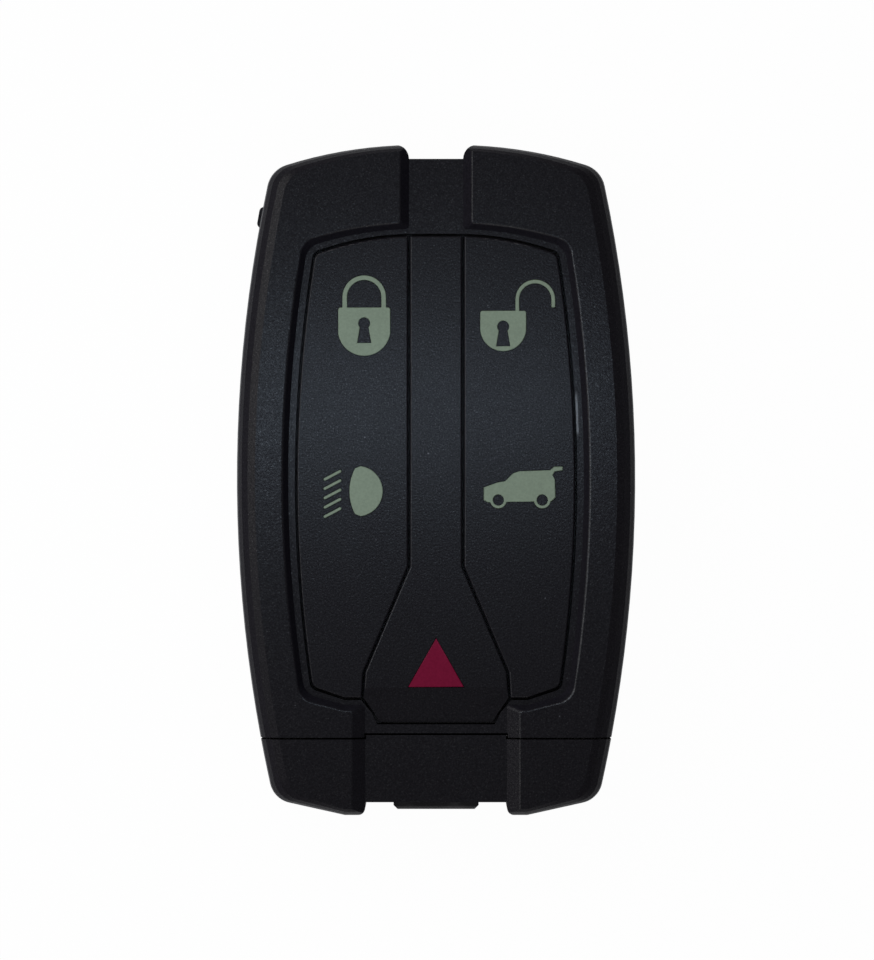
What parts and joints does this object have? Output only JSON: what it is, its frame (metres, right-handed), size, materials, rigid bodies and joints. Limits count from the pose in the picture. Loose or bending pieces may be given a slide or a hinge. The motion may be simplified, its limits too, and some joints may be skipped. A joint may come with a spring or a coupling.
{
  "type": "car key fob",
  "caption": "Barrel-shaped car key fob with raised shoulders, rocking lock and tailgate keys, an alarm key and a pull-off end cap that carries an emergency key blade.",
  "frame": {"origin": "middle of the bounding box, on the rear face that the fob rests on", "axes": "+X across the key face to its right, +Y along the fob towards the padlock icons, +Z out of the key face"},
  "size_m": [0.0428, 0.072, 0.0146],
  "materials": {
    "case_plastic": "black, fine moulded grain",
    "key_plastic": "black, fine moulded grain",
    "icon_plastic": "grey-green, satin",
    "alarm_plastic": "dark red, satin",
    "inner_plastic": "dark grey, plain",
    "silicone": "grey, matt",
    "board_laminate": "green solder mask",
    "switch_metal": "tin plated",
    "plunger_plastic": "ivory, plain",
    "chip_resin": "black epoxy",
    "plated_steel": "nickel plated",
    "ceramic_parts": "tan",
    "ferrite": "dark grey, sintered",
    "copper_wire": "enamelled copper",
    "spring_steel": "bright",
    "blade_steel": "nickel silver, milled",
    "black_steel": "black coated"
  },
  "bodies": {
    "case": {"front_cover": "case_plastic", "rear_cover": "case_plastic", "key_carrier": "inner_plastic", "inner_tray": "inner_plastic", "keypad_mat": "silicone", "circuit_board": "board_laminate", "switch_bodies": "switch_metal", "controller_chip": "chip_resin", "radio_chip": "chip_resin", "crystal": "plated_steel", "passives": "ceramic_parts", "antenna_core": "ferrite", "antenna_winding": "copper_wire", "coin_cell": "plated_steel", "positive_contact": "plated_steel", "negative_contact": "plated_steel", "blade_spring": "spring_steel"},
    "left_key": {"left_key_panel": "key_plastic", "lock_icon": "icon_plastic", "headlamp_icon": "icon_plastic"},
    "right_key": {"right_key_panel": "key_plastic", "unlock_icon": "icon_plastic", "tailgate_icon": "icon_plastic"},
    "centre_key": {"centre_key_panel": "key_plastic", "alarm_triangle": "alarm_plastic"},
    "cap": {"end_cap": "case_plastic", "key_blade": "blade_steel", "blade_holder": "inner_plastic", "blade_pin": "spring_steel", "keyring_bar": "black_steel"},
    "lock_plunger": {"lock_plunger": "plunger_plastic"},
    "unlock_plunger": {"unlock_plunger": "plunger_plastic"},
    "headlamp_plunger": {"headlamp_plunger": "plunger_plastic"},
    "tailgate_plunger": {"tailgate_plunger": "plunger_plastic"},
    "alarm_plunger": {"alarm_plunger": "plunger_plastic"}
  },
  "joints": [
    {"name": "left_key_rock", "type": "hinge", "parent": "case", "child": "left_key", "pos_m": [-0.0089, 0.0074, 0.0112], "axis": [1, 0, 0], "range_deg": [-1.6, 1.6], "stiffness_Nm_per_rad": 0.6, "deforming": ["keypad_mat"]},
    {"name": "right_key_rock", "type": "hinge", "parent": "case", "child": "right_key", "pos_m": [0.0089, 0.0074, 0.0112], "axis": [1, 0, 0], "range_deg": [-1.6, 1.6], "stiffness_Nm_per_rad": 0.6},
    {"name": "centre_key_press", "type": "hinge", "parent": "case", "child": "centre_key", "pos_m": [0, 0.02465, 0.0112], "axis": [1, 0, 0], "range_deg": [0, 0.45], "stiffness_Nm_per_rad": 8},
    {"name": "cap_pull", "type": "slide", "parent": "case", "child": "cap", "axis": [0, -1, 0], "range_m": [0, 0.048], "deforming": ["blade_spring"]},
    {"name": "lock_switch_press", "type": "slide", "parent": "case", "child": "lock_plunger", "axis": [0, 0, -1], "range_m": [0, 0.0002], "stiffness_N_per_m": 4000},
    {"name": "unlock_switch_press", "type": "slide", "parent": "case", "child": "unlock_plunger", "axis": [0, 0, -1], "range_m": [0, 0.0002], "stiffness_N_per_m": 4000},
    {"name": "headlamp_switch_press", "type": "slide", "parent": "case", "child": "headlamp_plunger", "axis": [0, 0, -1], "range_m": [0, 0.0002], "stiffness_N_per_m": 4000},
    {"name": "tailgate_switch_press", "type": "slide", "parent": "case", "child": "tailgate_plunger", "axis": [0, 0, -1], "range_m": [0, 0.0002], "stiffness_N_per_m": 4000},
    {"name": "alarm_switch_press", "type": "slide", "parent": "case", "child": "alarm_plunger", "axis": [0, 0, -1], "range_m": [0, 0.0002], "stiffness_N_per_m": 4000}
  ]
}
